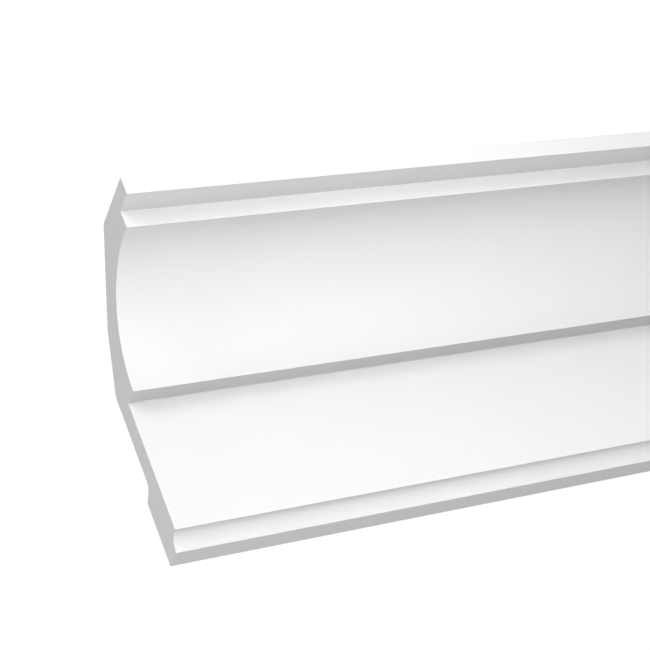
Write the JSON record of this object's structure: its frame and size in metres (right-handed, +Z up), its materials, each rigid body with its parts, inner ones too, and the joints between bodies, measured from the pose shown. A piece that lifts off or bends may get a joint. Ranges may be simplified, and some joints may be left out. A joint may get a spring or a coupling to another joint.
{
  "type": "crown moulding length",
  "caption": "White crown moulding with a stepped lip, a large cove, a flat band and a small toe cove, to fix between wall and ceiling.",
  "frame": {"origin": "middle of the strip that lies on the wall, halfway along the length", "axes": "+X along the wall, +Y into the wall, +Z up to the ceiling"},
  "size_m": [1, 0.1307, 0.2],
  "materials": {
    "primed_foam": "matte white primer over rigid polyurethane foam"
  },
  "bodies": {
    "root": {"crown_moulding": "primed_foam"}
  },
  "joints": []
}
